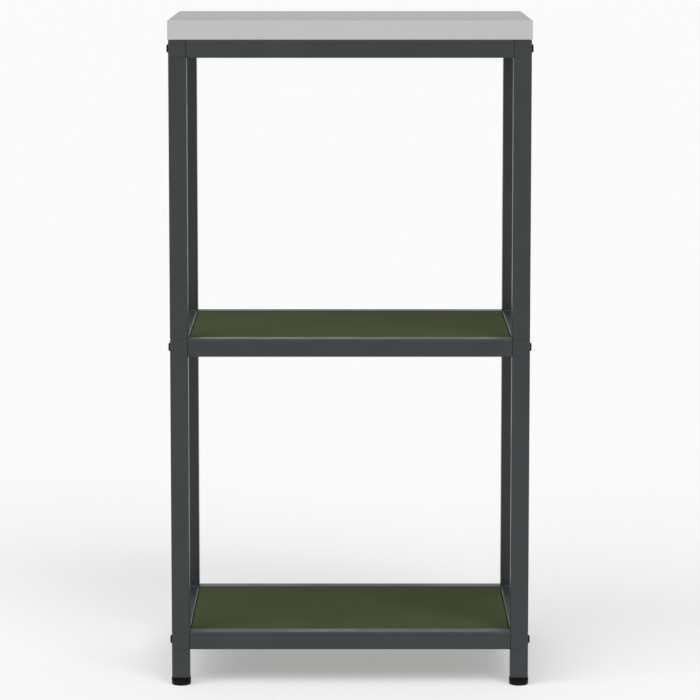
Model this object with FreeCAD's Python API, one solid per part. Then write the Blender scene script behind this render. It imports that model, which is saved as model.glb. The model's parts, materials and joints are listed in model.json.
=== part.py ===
import FreeCAD, Part
import math
import os

"""Slim two-shelf potting bench, in millimetres. +Z is up, and +X is to the right of someone who stands in
front of the bench and looks along +Y. The origin is on the floor, under the middle of the bench.

Each side frame is welded from square steel tube: three side rails run the whole depth, with leg tubes
standing between them. Six cross rails join the two side frames. A bolt goes in from each side, through the
end of a side rail, into a nut behind the end plate of a cross rail. Two pressed steel trays lie between the
rails on welded lugs, as shelves. The worktop is a wooden core clad in folded sheet steel, screwed on from
below. Each leg stands on a round plastic foot that screws in and out on a threaded stud."""

# Overall sizes
frame_width = 500.0
frame_depth = 350.0
bench_height = 932.0

# Square tube of the frame
tube_size = 25.0
tube_wall = 1.5
tube_corner = 2.0
tube_inner_corner = 0.6
leg_stub_length = 40.0

# Caps welded on the ends of the side rails
rail_cap = 2.0
cap_seam = 0.25

# Cross-rail ends and the bolts that hold them
end_plate = 2.0
bolt_diameter = 6.0
bolt_hole_clearance = 0.5
bolt_end_spare = 3.0
bolt_head_diameter = 11.4
bolt_head_height = 2.5
bolt_head_rounding = 1.0
bolt_socket_width = 4.0
bolt_socket_depth = 1.7
rail_nut_width = 10.0
rail_nut_height = 5.0
thread_clearance = 0.1

# Worktop
core_thickness = 25.0
cladding = 0.7
cladding_fit = 0.05
cladding_rounding = 0.6
hem_width = 18.0
worktop_screw_inset = 65.0

# Shelf trays
sheet = 0.8
tray_gap = 1.0
tray_drop = 0.5
tray_skirt = 16.0
tray_return = 12.0
tray_rounding = 1.0
tray_corner = 1.5

# Stiffener under each tray
stiffener_width = 44.0
stiffener_crown = 24.0
stiffener_height = 11.0
stiffener_end_gap = 12.0

# Lugs that carry the trays
lug_inset = 100.0
lug_length = 24.0
lug_reach = 14.0
lug_thickness = 2.0
lug_corner = 3.0
lug_screw_inset = 7.0

# Screws
shelf_screw_diameter = 4.2
shelf_screw_bite = 6.5
shelf_screw_head = 8.0
shelf_screw_head_height = 2.4
worktop_screw_diameter = 4.5
worktop_screw_bite = 15.0
worktop_screw_head = 8.5
worktop_screw_head_height = 2.5
screw_tip_diameter = 0.8
screw_hole_clearance = 0.5
pilot_clearance = 0.1
recess_length = 4.6
recess_width = 0.9
recess_depth = 1.2

# Feet
foot_overhang = 1.0
foot_height = 12.0
foot_gap = 0.1
foot_top_chamfer = 0.8
foot_bottom_rounding = 2.0
foot_travel = 12.0
stud_diameter = 8.0
stud_pitch = 1.25
stud_thread_depth = 0.75
stud_grip = 8.0
stud_end_spare = 3.4
stud_tip_chamfer = 1.0
stud_clearance = 0.1
foot_end_plate = 3.0
foot_nut_width = 13.0
foot_nut_height = 6.5

# How far a cut runs on past the face that it opens
overrun = 1.0

# Levels
worktop_thickness = core_thickness + 2 * cladding
frame_top = bench_height - worktop_thickness
leg_bottom = foot_height
bottom_rail_top = leg_bottom + leg_stub_length + tube_size
leg_length = (frame_top - tube_size - bottom_rail_top - tube_size) / 2
middle_rail_top = bottom_rail_top + leg_length + tube_size
rail_tops = {"bottom": bottom_rail_top, "middle": middle_rail_top, "top": frame_top}
shelf_levels = ("bottom", "middle")

# Centre lines of the tubes, and the inside faces of the rails
sides = {"left": -1, "right": 1}
ends = {"front": -1, "rear": 1}
tube_x = frame_width / 2 - tube_size / 2
tube_y = frame_depth / 2 - tube_size / 2
inside_x = frame_width / 2 - tube_size
inside_y = frame_depth / 2 - tube_size

foot_diameter = tube_size + 2 * foot_overhang

# Half sizes of a tray
tray_x = inside_x - tray_gap
tray_y = inside_y - tray_gap

# Lengths of the fasteners
bolt_length = tube_size + end_plate + rail_nut_height + bolt_end_spare
shelf_screw_length = lug_thickness + sheet + shelf_screw_bite
worktop_screw_length = tube_size + worktop_screw_bite
stud_length = foot_gap + foot_end_plate + foot_nut_height + foot_travel + stud_end_spare

up = FreeCAD.Vector(0, 0, 1)


def vector(x, y, z):
    return FreeCAD.Vector(x, y, z)


def turned_to(direction, start):
    """The placement that carries +Z to direction and the origin to start."""
    return FreeCAD.Placement(start, FreeCAD.Rotation(up, direction))


def block(x_size, y_size, z_size, centre, bottom):
    """A box centred on centre = (x, y), standing on the level bottom."""
    corner = vector(centre[0] - x_size / 2, centre[1] - y_size / 2, bottom)
    return Part.makeBox(x_size, y_size, z_size, corner)


def rod(diameter, length, start, direction=up):
    return Part.makeCylinder(diameter / 2, length, start, direction)


def hexagon_prism(width, height, start, direction):
    """A hexagonal prism, width across flats, from start along direction."""
    reach = width / math.sqrt(3)
    angles = [math.radians(60 * i) for i in range(7)]
    outline = Part.makePolygon([vector(reach * math.cos(a), reach * math.sin(a), 0) for a in angles])
    prism = Part.Face(outline).extrude(up * height)
    prism.Placement = turned_to(direction, start)
    return prism


def is_upright(edge):
    first, last = edge.Vertexes[0], edge.Vertexes[-1]
    same_place = abs(first.X - last.X) < 1e-6 and abs(first.Y - last.Y) < 1e-6
    return same_place and abs(first.Z - last.Z) > 1e-6


def round_upright_edges(solid, radius):
    return solid.makeFillet(radius, [e for e in solid.Edges if is_upright(e)])


def edges_at_level(solid, level):
    return [e for e in solid.Edges if all(abs(v.Z - level) < 1e-6 for v in e.Vertexes)]


def tube_outline(length):
    """A solid bar with the tube's outline, from the origin up."""
    return round_upright_edges(block(tube_size, tube_size, length, (0, 0), 0), tube_corner)


def tube(length, start, direction=up):
    """A square tube from start along direction."""
    bore_size = tube_size - 2 * tube_wall
    bore = round_upright_edges(block(bore_size, bore_size, length, (0, 0), 0), tube_inner_corner)
    hollow_bar = tube_outline(length).cut(bore)
    hollow_bar.Placement = turned_to(direction, start)
    return hollow_bar


def rail_centre(level):
    return rail_tops[level] - tube_size / 2


def worktop_screw_points():
    """Where the worktop screws' heads meet the undersides of the top side rails, three to a rail."""
    y_reach = frame_depth / 2 - worktop_screw_inset
    places = [(side * tube_x, y) for side in sides.values() for y in (-y_reach, 0, y_reach)]
    return [vector(x, y, frame_top - tube_size) for x, y in places]


def worktop_screw_holes(diameter, height):
    """Holes from just below the top side rails' undersides to height above them."""
    return [rod(diameter, height + overrun, p - up * overrun) for p in worktop_screw_points()]


def with_worktop_screw_holes(rail):
    """A top side rail with the clearance holes through both of its walls."""
    return rail.cut(worktop_screw_holes(worktop_screw_diameter + screw_hole_clearance, tube_size + overrun))


def bolt_points(side, level):
    """Where the bolts of one side and level go into the outer face of the side rail."""
    return [vector(side * frame_width / 2, end * tube_y, rail_centre(level)) for end in ends.values()]


def side_rail(side, level):
    start = vector(side * tube_x, rail_cap - frame_depth / 2, rail_centre(level))
    rail = tube(frame_depth - 2 * rail_cap, start, vector(0, 1, 0))
    outward = vector(side, 0, 0)
    hole = bolt_diameter + bolt_hole_clearance
    for point in bolt_points(side, level):
        rail = rail.cut(rod(hole, tube_size + 2 * overrun, point + outward * overrun, -outward))
    return with_worktop_screw_holes(rail) if level == "top" else rail


def side_rail_cap(side, end, level):
    """A cap ground flush with the rail, with its upright edges rounded as the legs' are."""
    middle = vector(side * tube_x, end * tube_y, rail_centre(level))
    height = tube_size - 2 * cap_seam
    upright_bar = tube_outline(height)
    upright_bar.translate(middle - up * (height / 2))
    lying_bar = tube_outline(tube_size)
    lying_bar.Placement = turned_to(vector(0, 1, 0), middle - vector(0, tube_size / 2, 0))
    slab_centre = (middle.x, end * (frame_depth / 2 - rail_cap / 2))
    slab = block(tube_size, rail_cap, tube_size, slab_centre, middle.z - tube_size / 2)
    return upright_bar.common(lying_bar).common(slab)


def side_rail_caps(side):
    caps = [side_rail_cap(side, end, level) for level in rail_tops for end in ends.values()]
    return Part.makeCompound(caps)


def cross_rail(end, level):
    length = 2 * (inside_x - end_plate)
    return tube(length, vector(-length / 2, end * tube_y, rail_centre(level)), vector(1, 0, 0))


def cross_rail_ends():
    """For each end of each cross rail, the point where it meets a side rail, and the way into it."""
    return [
        (vector(side * inside_x, end * tube_y, rail_centre(level)), vector(-side, 0, 0))
        for side in sides.values() for level in rail_tops for end in ends.values()
    ]


def cross_rail_end_plates():
    plates = []
    for start, inward in cross_rail_ends():
        plate = tube_outline(end_plate)
        plate.Placement = turned_to(inward, start)
        plates.append(plate.cut(rod(bolt_diameter + bolt_hole_clearance, end_plate, start, inward)))
    return Part.makeCompound(plates)


def cross_rail_nuts():
    nuts = []
    for start, inward in cross_rail_ends():
        seat = start + inward * end_plate
        nut = hexagon_prism(rail_nut_width, rail_nut_height, seat, inward)
        nuts.append(nut.cut(rod(bolt_diameter + thread_clearance, rail_nut_height, seat, inward)))
    return Part.makeCompound(nuts)


def frame_bolt(start, outward):
    """A low-head bolt with a hexagon socket, drawn along +Z and then turned outward."""
    head = rod(bolt_head_diameter, bolt_head_height, vector(0, 0, 0))
    head = head.makeFillet(bolt_head_rounding, edges_at_level(head, bolt_head_height))
    socket_floor = up * (bolt_head_height - bolt_socket_depth)
    head = head.cut(hexagon_prism(bolt_socket_width, bolt_socket_depth, socket_floor, up))
    bolt = head.fuse(rod(bolt_diameter, bolt_length, vector(0, 0, 0), -up)).removeSplitter()
    bolt.Placement = turned_to(outward, start)
    return bolt


def frame_bolts(side):
    points = [p for level in rail_tops for p in bolt_points(side, level)]
    return Part.makeCompound([frame_bolt(p, vector(side, 0, 0)) for p in points])


def lug_places(level):
    """For each lug, the point at its top on the rail's inside face, and the way in from the rail."""
    x_reach = frame_width / 2 - lug_inset
    top = rail_tops[level] - tray_drop - tray_skirt
    on_cross_rails = [
        (vector(x, end * inside_y, top), vector(0, -end, 0))
        for end in ends.values() for x in (-x_reach, x_reach)
    ]
    on_side_rails = [(vector(side * inside_x, 0, top), vector(-side, 0, 0)) for side in sides.values()]
    return on_cross_rails + on_side_rails


def shelf_screw_points(level):
    """Where the shelf screws' heads meet the undersides of the lugs."""
    return [place + inward * lug_screw_inset - up * lug_thickness for place, inward in lug_places(level)]


def shelf_lug(place, inward):
    """A flat tab, drawn along +X from the origin and then turned inward, with its free corners rounded."""
    lug = block(lug_reach, lug_length, lug_thickness, (lug_reach / 2, 0), -lug_thickness)
    free_corners = [e for e in lug.Edges if is_upright(e) and e.Vertexes[0].X > lug_reach / 2]
    lug = lug.makeFillet(lug_corner, free_corners)
    hole_start = vector(lug_screw_inset, 0, -lug_thickness - overrun)
    hole = rod(shelf_screw_diameter + screw_hole_clearance, lug_thickness + 2 * overrun, hole_start)
    lug = lug.cut(hole)
    angle = math.degrees(math.atan2(inward.y, inward.x))
    lug.Placement = FreeCAD.Placement(place, FreeCAD.Rotation(up, angle))
    return lug


def shelf_lugs(level):
    return Part.makeCompound([shelf_lug(place, inward) for place, inward in lug_places(level)])


def pan_head_screw(start, diameter, length, head_diameter, head_height):
    """A cross-recessed screw that points up from start, where the underside of its head bears."""
    tip_length = diameter
    tip_start = start + up * (length - tip_length)
    head_bottom = start - up * head_height
    head = rod(head_diameter, head_height, head_bottom)
    head = head.makeFillet(head_height / 2, edges_at_level(head, head_bottom.z))
    for x_size, y_size in ((recess_length, recess_width), (recess_width, recess_length)):
        head = head.cut(block(x_size, y_size, recess_depth, (start.x, start.y), head_bottom.z))
    shank = rod(diameter, length - tip_length, start)
    tip = Part.makeCone(diameter / 2, screw_tip_diameter / 2, tip_length, tip_start)
    return head.fuse([shank, tip]).removeSplitter()


def shelf_screws(level):
    return Part.makeCompound([
        pan_head_screw(p, shelf_screw_diameter, shelf_screw_length, shelf_screw_head, shelf_screw_head_height)
        for p in shelf_screw_points(level)
    ])


def shelf_tray(level):
    """A pressed tray, open below, with its skirts turned inwards at the bottom."""
    top = rail_tops[level] - tray_drop
    bottom = top - tray_skirt
    tray = round_upright_edges(block(2 * tray_x, 2 * tray_y, tray_skirt, (0, 0), bottom), tray_corner)
    tray = tray.makeFillet(tray_rounding, edges_at_level(tray, top))
    hollow_height = tray_skirt - 2 * sheet
    hollow = block(2 * (tray_x - sheet), 2 * (tray_y - sheet), hollow_height, (0, 0), bottom + sheet)
    mouth_size = (2 * (tray_x - tray_return), 2 * (tray_y - tray_return))
    mouth = block(*mouth_size, sheet + 2 * overrun, (0, 0), bottom - overrun)
    tray = tray.cut([round_upright_edges(hollow, tray_corner - sheet), mouth])
    pilot = shelf_screw_diameter + pilot_clearance
    return tray.cut([rod(pilot, lug_thickness + sheet + overrun, p) for p in shelf_screw_points(level)])


def shelf_stiffener(level):
    """A hat channel under the middle of the tray, its brims welded to the sheet."""
    top = rail_tops[level] - tray_drop - sheet
    brim = stiffener_width / 2
    crown = stiffener_crown / 2
    half_outline = [
        (crown, 0), (brim, 0), (brim, -sheet), (crown + sheet, -sheet), (crown, -stiffener_height),
    ]
    inner_half = [(crown, 0), (crown - sheet, sheet - stiffener_height)]
    right = half_outline[1:]
    left = [(-y, z) for y, z in reversed(right)]
    inside = [(-y, z) for y, z in inner_half] + list(reversed(inner_half))
    reach = tray_x - tray_return - stiffener_end_gap
    corners = [vector(-reach, y, top + z) for y, z in right + left + inside]
    return Part.Face(Part.makePolygon(corners + corners[:1])).extrude(vector(2 * reach, 0, 0))


def worktop_core():
    core = block(frame_width, frame_depth, core_thickness, (0, 0), frame_top + cladding)
    pilot_depth = worktop_screw_length + pilot_clearance
    return core.cut(worktop_screw_holes(worktop_screw_diameter + pilot_clearance, pilot_depth))


def worktop_cladding():
    """Sheet steel folded round the core and hemmed under it."""
    x_size = frame_width + 2 * (cladding + cladding_fit)
    y_size = frame_depth + 2 * (cladding + cladding_fit)
    shell = block(x_size, y_size, worktop_thickness, (0, 0), frame_top)
    shell = round_upright_edges(shell, cladding_rounding)
    rims = edges_at_level(shell, bench_height) + edges_at_level(shell, frame_top)
    shell = shell.makeFillet(cladding_rounding, rims)
    room = block(x_size - 2 * cladding, y_size - 2 * cladding, core_thickness, (0, 0), frame_top + cladding)
    mouth_size = (x_size - 2 * hem_width, y_size - 2 * hem_width)
    mouth = block(*mouth_size, cladding + 2 * overrun, (0, 0), frame_top - overrun)
    hem_hole = worktop_screw_diameter + screw_hole_clearance
    return shell.cut([room, mouth] + worktop_screw_holes(hem_hole, tube_size + cladding + overrun))


def worktop_screws():
    sizes = (worktop_screw_diameter, worktop_screw_length, worktop_screw_head, worktop_screw_head_height)
    return Part.makeCompound([pan_head_screw(p, *sizes) for p in worktop_screw_points()])


def leg_centres():
    return {
        f"{side_name}_{end_name}": (side * tube_x, end * tube_y)
        for side_name, side in sides.items() for end_name, end in ends.items()
    }


def foot_end_plates():
    """Plates welded flush into the lower ends of the legs."""
    size = tube_size - 2 * tube_wall
    plates = []
    for x, y in leg_centres().values():
        plate = round_upright_edges(block(size, size, foot_end_plate, (x, y), leg_bottom), tube_inner_corner)
        hole = rod(stud_diameter + stud_clearance, foot_end_plate, vector(x, y, leg_bottom))
        plates.append(plate.cut(hole))
    return Part.makeCompound(plates)


def foot_nuts():
    nuts = []
    for x, y in leg_centres().values():
        seat = vector(x, y, leg_bottom + foot_end_plate)
        nut = hexagon_prism(foot_nut_width, foot_nut_height, seat, up)
        nuts.append(nut.cut(rod(stud_diameter + stud_clearance, foot_nut_height, seat)))
    return Part.makeCompound(nuts)


def foot_base(x, y):
    """The round plastic base, with the pocket that the stud is moulded into."""
    top = foot_height - foot_gap
    base = rod(foot_diameter, top, vector(x, y, 0))
    base = base.makeFillet(foot_bottom_rounding, edges_at_level(base, 0))
    base = base.makeChamfer(foot_top_chamfer, edges_at_level(base, top))
    return base.cut(rod(stud_diameter, stud_grip, vector(x, y, top - stud_grip)))


def foot_stud(x, y):
    """The steel stud: plain in the base, and ringed by grooves for the thread above it."""
    base_top = foot_height - foot_gap
    stud_top = base_top + stud_length
    radius = stud_diameter / 2
    outline = [(0, base_top - stud_grip), (radius, base_top - stud_grip), (radius, base_top)]
    for turn in range(int((stud_length - stud_tip_chamfer) / stud_pitch)):
        groove_start = base_top + turn * stud_pitch
        outline.append((radius - stud_thread_depth, groove_start + stud_pitch / 2))
        outline.append((radius, groove_start + stud_pitch))
    if stud_top - stud_tip_chamfer - outline[-1][1] > 1e-6:
        outline.append((radius, stud_top - stud_tip_chamfer))
    outline += [(radius - stud_tip_chamfer, stud_top), (0, stud_top)]
    corners = [vector(x + r, y, z) for r, z in outline]
    face = Part.Face(Part.makePolygon(corners + corners[:1]))
    return face.revolve(vector(x, y, 0), up, 360)


def frame_parts():
    parts = {}
    for side_name, side in sides.items():
        for level in rail_tops:
            parts[f"{side_name}_{level}_side_rail"] = side_rail(side, level)
        parts[f"{side_name}_side_rail_caps"] = side_rail_caps(side)
        parts[f"{side_name}_frame_bolts"] = frame_bolts(side)
    for name, (x, y) in leg_centres().items():
        parts[f"{name}_upper_leg"] = tube(leg_length, vector(x, y, middle_rail_top))
        parts[f"{name}_lower_leg"] = tube(leg_length, vector(x, y, bottom_rail_top))
        parts[f"{name}_leg_stub"] = tube(leg_stub_length, vector(x, y, leg_bottom))
    for end_name, end in ends.items():
        for level in rail_tops:
            parts[f"{end_name}_{level}_cross_rail"] = cross_rail(end, level)
    parts["cross_rail_end_plates"] = cross_rail_end_plates()
    parts["cross_rail_weld_nuts"] = cross_rail_nuts()
    return parts


def shelf_parts():
    parts = {}
    for level in shelf_levels:
        parts[f"{level}_shelf_tray"] = shelf_tray(level)
        parts[f"{level}_shelf_stiffener"] = shelf_stiffener(level)
        parts[f"{level}_shelf_lugs"] = shelf_lugs(level)
        parts[f"{level}_shelf_screws"] = shelf_screws(level)
    return parts


def worktop_parts():
    return {
        "worktop_core": worktop_core(),
        "worktop_cladding": worktop_cladding(),
        "worktop_screws": worktop_screws(),
    }


def foot_parts():
    parts = {"foot_end_plates": foot_end_plates(), "foot_weld_nuts": foot_nuts()}
    for name, (x, y) in leg_centres().items():
        parts[f"{name}_foot_base"] = foot_base(x, y)
        parts[f"{name}_foot_stud"] = foot_stud(x, y)
    return parts


os.makedirs("parts", exist_ok=True)
for node, shape in {**frame_parts(), **shelf_parts(), **worktop_parts(), **foot_parts()}.items():
    shape.exportStep(f"parts/{node}.step")
    print(node, len(shape.Solids), round(shape.Volume, 1), shape.isValid())
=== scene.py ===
"""Slim potting bench: sheets, welds, fasteners, feet, finishes and stage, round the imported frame."""

import json
import math
from contextlib import contextmanager

import bmesh
import bpy
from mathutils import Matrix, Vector

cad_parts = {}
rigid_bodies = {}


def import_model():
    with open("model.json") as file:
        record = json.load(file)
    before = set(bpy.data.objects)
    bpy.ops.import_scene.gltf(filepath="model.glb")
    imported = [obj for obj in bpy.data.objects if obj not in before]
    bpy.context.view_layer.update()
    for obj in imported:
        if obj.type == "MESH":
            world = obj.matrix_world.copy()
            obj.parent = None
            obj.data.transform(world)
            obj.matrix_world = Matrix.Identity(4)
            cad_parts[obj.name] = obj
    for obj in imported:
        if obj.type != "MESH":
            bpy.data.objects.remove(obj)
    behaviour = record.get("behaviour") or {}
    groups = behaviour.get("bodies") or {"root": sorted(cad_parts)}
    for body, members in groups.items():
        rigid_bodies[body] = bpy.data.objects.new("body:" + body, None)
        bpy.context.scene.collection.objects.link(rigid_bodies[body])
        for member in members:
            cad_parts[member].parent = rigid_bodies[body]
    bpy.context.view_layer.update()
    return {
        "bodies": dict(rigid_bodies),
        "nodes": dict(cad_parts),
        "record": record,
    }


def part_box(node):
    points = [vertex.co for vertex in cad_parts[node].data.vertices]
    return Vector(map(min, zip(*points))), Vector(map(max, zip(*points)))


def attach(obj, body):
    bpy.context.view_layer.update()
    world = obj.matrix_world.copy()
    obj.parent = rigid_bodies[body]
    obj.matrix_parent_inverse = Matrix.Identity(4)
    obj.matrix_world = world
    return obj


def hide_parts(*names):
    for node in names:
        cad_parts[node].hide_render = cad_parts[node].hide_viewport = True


bl_info = {
    "name": "Slim Potting Bench",
    "version": (1, 0, 0),
    "blender": (4, 5, 0),
    "location": "3D View > Sidebar > Potting Bench",
    "description": "Builds the pieces, finishes and stage of a slim potting bench round its frame",
    "category": "Object",
}

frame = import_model()

BENCH = "bench"
SIDES = {"left": -1, "right": 1}
ENDS = {"front": -1, "rear": 1}
SHELVES = ("bottom", "middle")
FINISHES = {
    "anthracite_powder_coat": "satin_anthracite_coat",
    "green_powder_coat": "matte_olive_coat",
    "grey_worktop_sheet": "light_grey_coated_sheet",
    "core_board": "raw_particle_board",
    "black_bolts": "blackened_steel",
    "zinc_plated_steel": "bright_zinc_plate",
    "black_foot_plastic": "moulded_black_plastic",
}
LEGS = tuple(f"{side}_{end}" for side in SIDES for end in ENDS)
MM = 0.001
HAIR = 1e-6  # points nearer than this are in one place
WHITE = (1.0, 1.0, 1.0, 1.0)


# ---------------------------------------------------------------- settings


def length(name, description, default):
    return bpy.props.FloatProperty(
        name=name, description=description, default=default, min=0.0, precision=5,
        unit="LENGTH", subtype="DISTANCE",
    )


def angle(name, description, degrees):
    return bpy.props.FloatProperty(
        name=name, description=description, default=math.radians(degrees), subtype="ANGLE"
    )


def amount(name, description, default):
    return bpy.props.FloatProperty(name=name, description=description, default=default, min=0.0)


def colour(name, description, default):
    return bpy.props.FloatVectorProperty(
        name=name, description=description, default=default, size=3, min=0.0, max=1.0, subtype="COLOR"
    )


class BenchSizes(bpy.types.PropertyGroup):
    """Sizes of what is shaped here, apart from those that the frame gives."""

    tube_corner: length("Tube corner", "Outside corner radius of the square tubes", 2.0 * MM)
    worktop_sheet: length("Worktop sheet", "Thickness of the sheet folded round the worktop", 0.7 * MM)
    worktop_bend: length("Worktop bend", "Outside radius of the worktop's bends", 0.8 * MM)
    worktop_hem: length("Worktop hem", "Width of the worktop sheet's hem under the core", 17.25 * MM)
    tray_sheet: length("Tray sheet", "Thickness of the shelf trays", 0.8 * MM)
    tray_bend: length("Tray bend", "Outside radius of the trays' bends", 1.2 * MM)
    tray_return: length("Tray return", "Width of the trays' turned-in edges", 12.0 * MM)
    fold_seam: length("Fold seam", "Gap where two folded edges meet at a corner", 0.22 * MM)
    bead_radius: length("Weld bead radius", "Radius of the side frames' weld beads", 2.1 * MM)
    bead_pitch: length("Weld ripple pitch", "Distance from one weld ripple to the next", 1.1 * MM)
    bolt_shank: length("Bolt shank", "Diameter of the frame bolts", 6.0 * MM)
    bolt_head: length("Bolt head", "Diameter of the frame bolts' heads", 11.4 * MM)
    bolt_head_height: length("Bolt head height", "Height of the frame bolts' heads", 2.5 * MM)
    bolt_socket: length("Bolt socket", "Width across flats of the bolts' hexagon sockets", 4.0 * MM)
    bolt_socket_depth: length("Bolt socket depth", "Depth of the bolts' hexagon sockets", 1.7 * MM)
    thread_pitch: length("Foot thread pitch", "Pitch of the feet's threaded studs", 1.25 * MM)
    thread_depth: length("Foot thread depth", "Depth of the thread on the feet's studs", 0.7 * MM)
    foot_rounding: length("Foot rounding", "Rounding of the feet's lower rims", 2.0 * MM)
    foot_groove: length("Foot groove", "Depth of the groove round each foot", 0.5 * MM)
    foot_flute: length("Foot flute", "Depth of the finger flutes round each foot", 0.35 * MM)
    lug_bead_radius: length("Lug bead radius", "Radius of the weld beads under the lugs", 1.3 * MM)
    stiffener_sheet: length("Stiffener sheet", "Thickness of the stiffeners under the trays", 0.8 * MM)
    stiffener_brim: length("Stiffener brim", "Width of each brim of a stiffener", 9.2 * MM)
    spot_weld: length("Spot weld", "Diameter of the spot-weld marks on the stiffeners' brims", 4.5 * MM)
    spot_weld_pitch: length("Spot weld pitch", "Distance from one spot weld to the next", 46.0 * MM)
    shelf_screw_head_height: length("Shelf screw head", "Height of the shelf screws' heads", 2.4 * MM)
    shelf_screw_shank: length("Shelf screw", "Diameter of the shelf screws", 4.2 * MM)
    worktop_screw_head_height: length(
        "Worktop screw head", "Height of the worktop screws' heads", 2.5 * MM
    )
    worktop_screw_shank: length("Worktop screw", "Diameter of the worktop screws", 4.5 * MM)
    screw_pitch: length("Screw pitch", "Pitch of the screws' coarse threads", 1.8 * MM)
    recess_length: length("Recess length", "Length across the screws' cross recesses", 4.6 * MM)
    recess_width: length("Recess width", "Width of the arms of the screws' cross recesses", 0.95 * MM)
    recess_depth: length("Recess depth", "Depth of the screws' cross recesses", 1.4 * MM)


class BenchColours(bpy.types.PropertyGroup):
    """Base colours of the finishes."""

    frame_coat: colour("Frame coat", "Satin anthracite powder coat", (0.0235, 0.0275, 0.0285))
    shelf_coat: colour("Shelf coat", "Matte olive powder coat", (0.055, 0.072, 0.0285))
    worktop_coat: colour("Worktop coat", "Light grey coated sheet", (0.436, 0.436, 0.436))
    core_board: colour("Core board", "Raw particle board", (0.46, 0.33, 0.20))
    bolt_black: colour("Bolt black", "Blackened steel bolts", (0.002, 0.002, 0.0022))
    foot_black: colour("Foot black", "Moulded black plastic", (0.0025, 0.0025, 0.0025))
    zinc: colour("Zinc", "Zinc-plated steel", (0.66, 0.67, 0.68))


class StageSettings(bpy.types.PropertyGroup):
    """Camera, floor and lights."""

    camera_distance: length("Camera distance", "From the middle of the bench to the camera", 5.077)
    camera_height: length("Camera height", "Height of the camera above the floor", 1.124)
    aim_height: length("Aim height", "Height of the point in the bench that the camera looks at", 0.453)
    lens: amount("Lens", "Focal length in millimetres", 183.2)
    floor_reach: length("Floor reach", "How far the pale floor runs each way from the bench", 50.0)
    floor_colour: colour("Floor colour", "Base colour of the pale floor", (0.62, 0.62, 0.62))
    floor_glow: amount("Floor glow", "How bright the floor is in the dark", 0.34)
    sky: amount("Sky", "Strength of the even light all round", 0.33)
    backdrop: amount("Backdrop", "Strength of the light low down behind the bench", 0.8)
    light_height: angle("Light height", "Angle of the soft lights above the floor", 42)
    left_strength: amount("Left strength", "Strength of the wide light on the left", 1.6)
    left_turn: angle("Left turn", "How far round the left light stands from the camera", -40)
    left_softness: angle("Left softness", "Angle that the left light fills", 56)
    right_strength: amount("Right strength", "Strength of the narrower light on the right", 1.3)
    right_turn: angle("Right turn", "How far round the right light stands from the camera", 24)
    right_softness: angle("Right softness", "Angle that the right light fills", 30)


# ---------------------------------------------------------------- modelling helpers


def deselect_all():
    active = bpy.context.view_layer.objects.active
    if active is not None and active.mode != "OBJECT":
        bpy.ops.object.mode_set(mode="OBJECT")
    bpy.ops.object.select_all(action="DESELECT")


def make_active(piece):
    deselect_all()
    piece.select_set(True)
    bpy.context.view_layer.objects.active = piece


def named(name):
    """The primitive that was just added, with its place put in its mesh."""
    piece = bpy.context.view_layer.objects.active
    piece.name = piece.data.name = name
    bpy.ops.object.transform_apply(location=True, rotation=True, scale=True)
    return piece


def add_box(name, low, high, turn=0.0):
    """A box between two corners, turned about its own middle by turn round Z."""
    deselect_all()
    middle = [(a + b) / 2 for a, b in zip(low, high)]
    size = [b - a for a, b in zip(low, high)]
    bpy.ops.mesh.primitive_cube_add(size=1, location=middle, rotation=(0, 0, turn), scale=size)
    return named(name)


def add_cylinder(name, radius, bottom, top, sides, centre=(0, 0)):
    """An upright cylinder between two levels."""
    deselect_all()
    bpy.ops.mesh.primitive_cylinder_add(
        vertices=sides, radius=radius, depth=top - bottom, location=(*centre, (bottom + top) / 2)
    )
    return named(name)


@contextmanager
def editing(piece, mode="FACE"):
    """Edit mode, with nothing selected at its start."""
    make_active(piece)
    bpy.ops.object.mode_set(mode="EDIT")
    bpy.ops.mesh.select_mode(type=mode)
    bpy.ops.mesh.select_all(action="DESELECT")
    yield
    bpy.ops.object.mode_set(mode="OBJECT")


def pick_faces(piece, test):
    """Selects the faces whose middle and normal pass the test."""
    mesh = bmesh.from_edit_mesh(piece.data)
    bpy.ops.mesh.select_all(action="DESELECT")
    for face in mesh.faces:
        if test(face.calc_center_median(), face.normal):
            face.select_set(True)
    bmesh.update_edit_mesh(piece.data)


def pick_edges(piece, test):
    """Selects the edges whose two ends pass the test."""
    mesh = bmesh.from_edit_mesh(piece.data)
    bpy.ops.mesh.select_all(action="DESELECT")
    for edge in mesh.edges:
        if test(edge.verts[0].co, edge.verts[1].co):
            edge.select_set(True)
    bmesh.update_edit_mesh(piece.data)


def extrude_up(rise):
    bpy.ops.mesh.extrude_region_move(TRANSFORM_OT_translate={"value": (0, 0, rise)})


def solid_boxes(node):
    """The lowest and highest corners of each separate solid in a CAD node."""
    mesh = bmesh.new()
    mesh.from_mesh(frame["nodes"][node].data)
    bmesh.ops.remove_doubles(mesh, verts=mesh.verts, dist=HAIR)
    boxes = []
    unseen = set(mesh.verts)
    while unseen:
        solid = [unseen.pop()]
        for vertex in solid:
            for edge in vertex.link_edges:
                other = edge.other_vert(vertex)
                if other in unseen:
                    unseen.remove(other)
                    solid.append(other)
        low = Vector([min(vertex.co[i] for vertex in solid) for i in range(3)])
        high = Vector([max(vertex.co[i] for vertex in solid) for i in range(3)])
        boxes.append((low, high))
    mesh.free()
    return sorted(boxes, key=lambda box: tuple(box[0]))


def apply_modifier(piece, kind, **settings):
    make_active(piece)
    modifier = piece.modifiers.new(kind.title(), kind)
    for key, value in settings.items():
        setattr(modifier, key, value)
    bpy.ops.object.modifier_apply(modifier=modifier.name)


def in_a_row(piece, count, pitch):
    """The piece repeated along X, as one mesh."""
    apply_modifier(
        piece, "ARRAY", count=count, use_relative_offset=False, use_constant_offset=True,
        constant_offset_displace=(pitch, 0, 0),
    )
    return piece


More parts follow.
